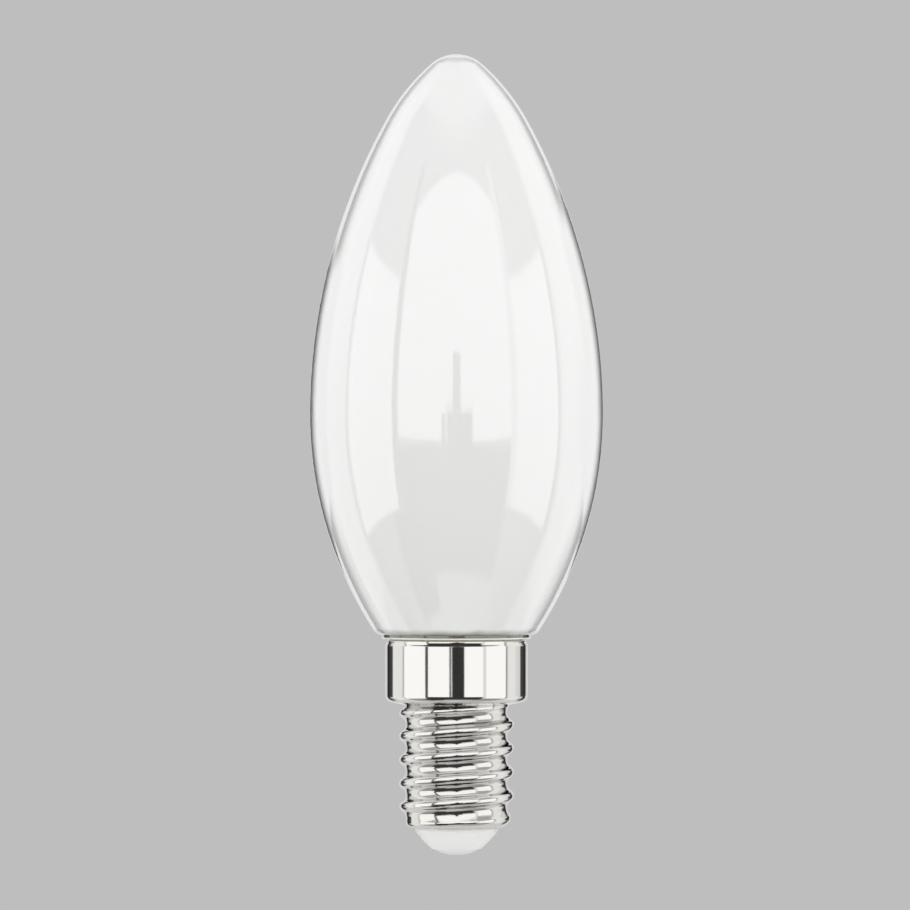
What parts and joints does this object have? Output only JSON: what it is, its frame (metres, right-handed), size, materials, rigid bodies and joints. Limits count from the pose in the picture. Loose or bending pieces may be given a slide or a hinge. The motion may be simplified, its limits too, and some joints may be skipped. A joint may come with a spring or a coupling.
{
  "type": "candle bulb",
  "caption": "Candle-shaped lamp bulb of white opal glass on a bright metal cap with a smooth skirt, a rolled screw thread, a white end insulator and a centre contact.",
  "frame": {"origin": "centre of the flat end of the centre contact, on the lamp's axis", "axes": "+Z along the lamp's axis from the contact to the tip of the glass, +X to the right in the picture, -Y towards the camera"},
  "size_m": [0.035, 0.035, 0.0956],
  "materials": {
    "opal_glass": "white opal, glossy",
    "cement": "matte",
    "cap_metal": "bright plated",
    "insulator": "satin white",
    "contact_metal": "bright plated"
  },
  "bodies": {
    "root": {"glass_envelope": "opal_glass", "cap_cement": "cement", "screw_cap": "cap_metal", "cap_insulator": "insulator", "centre_contact": "contact_metal"}
  },
  "joints": []
}
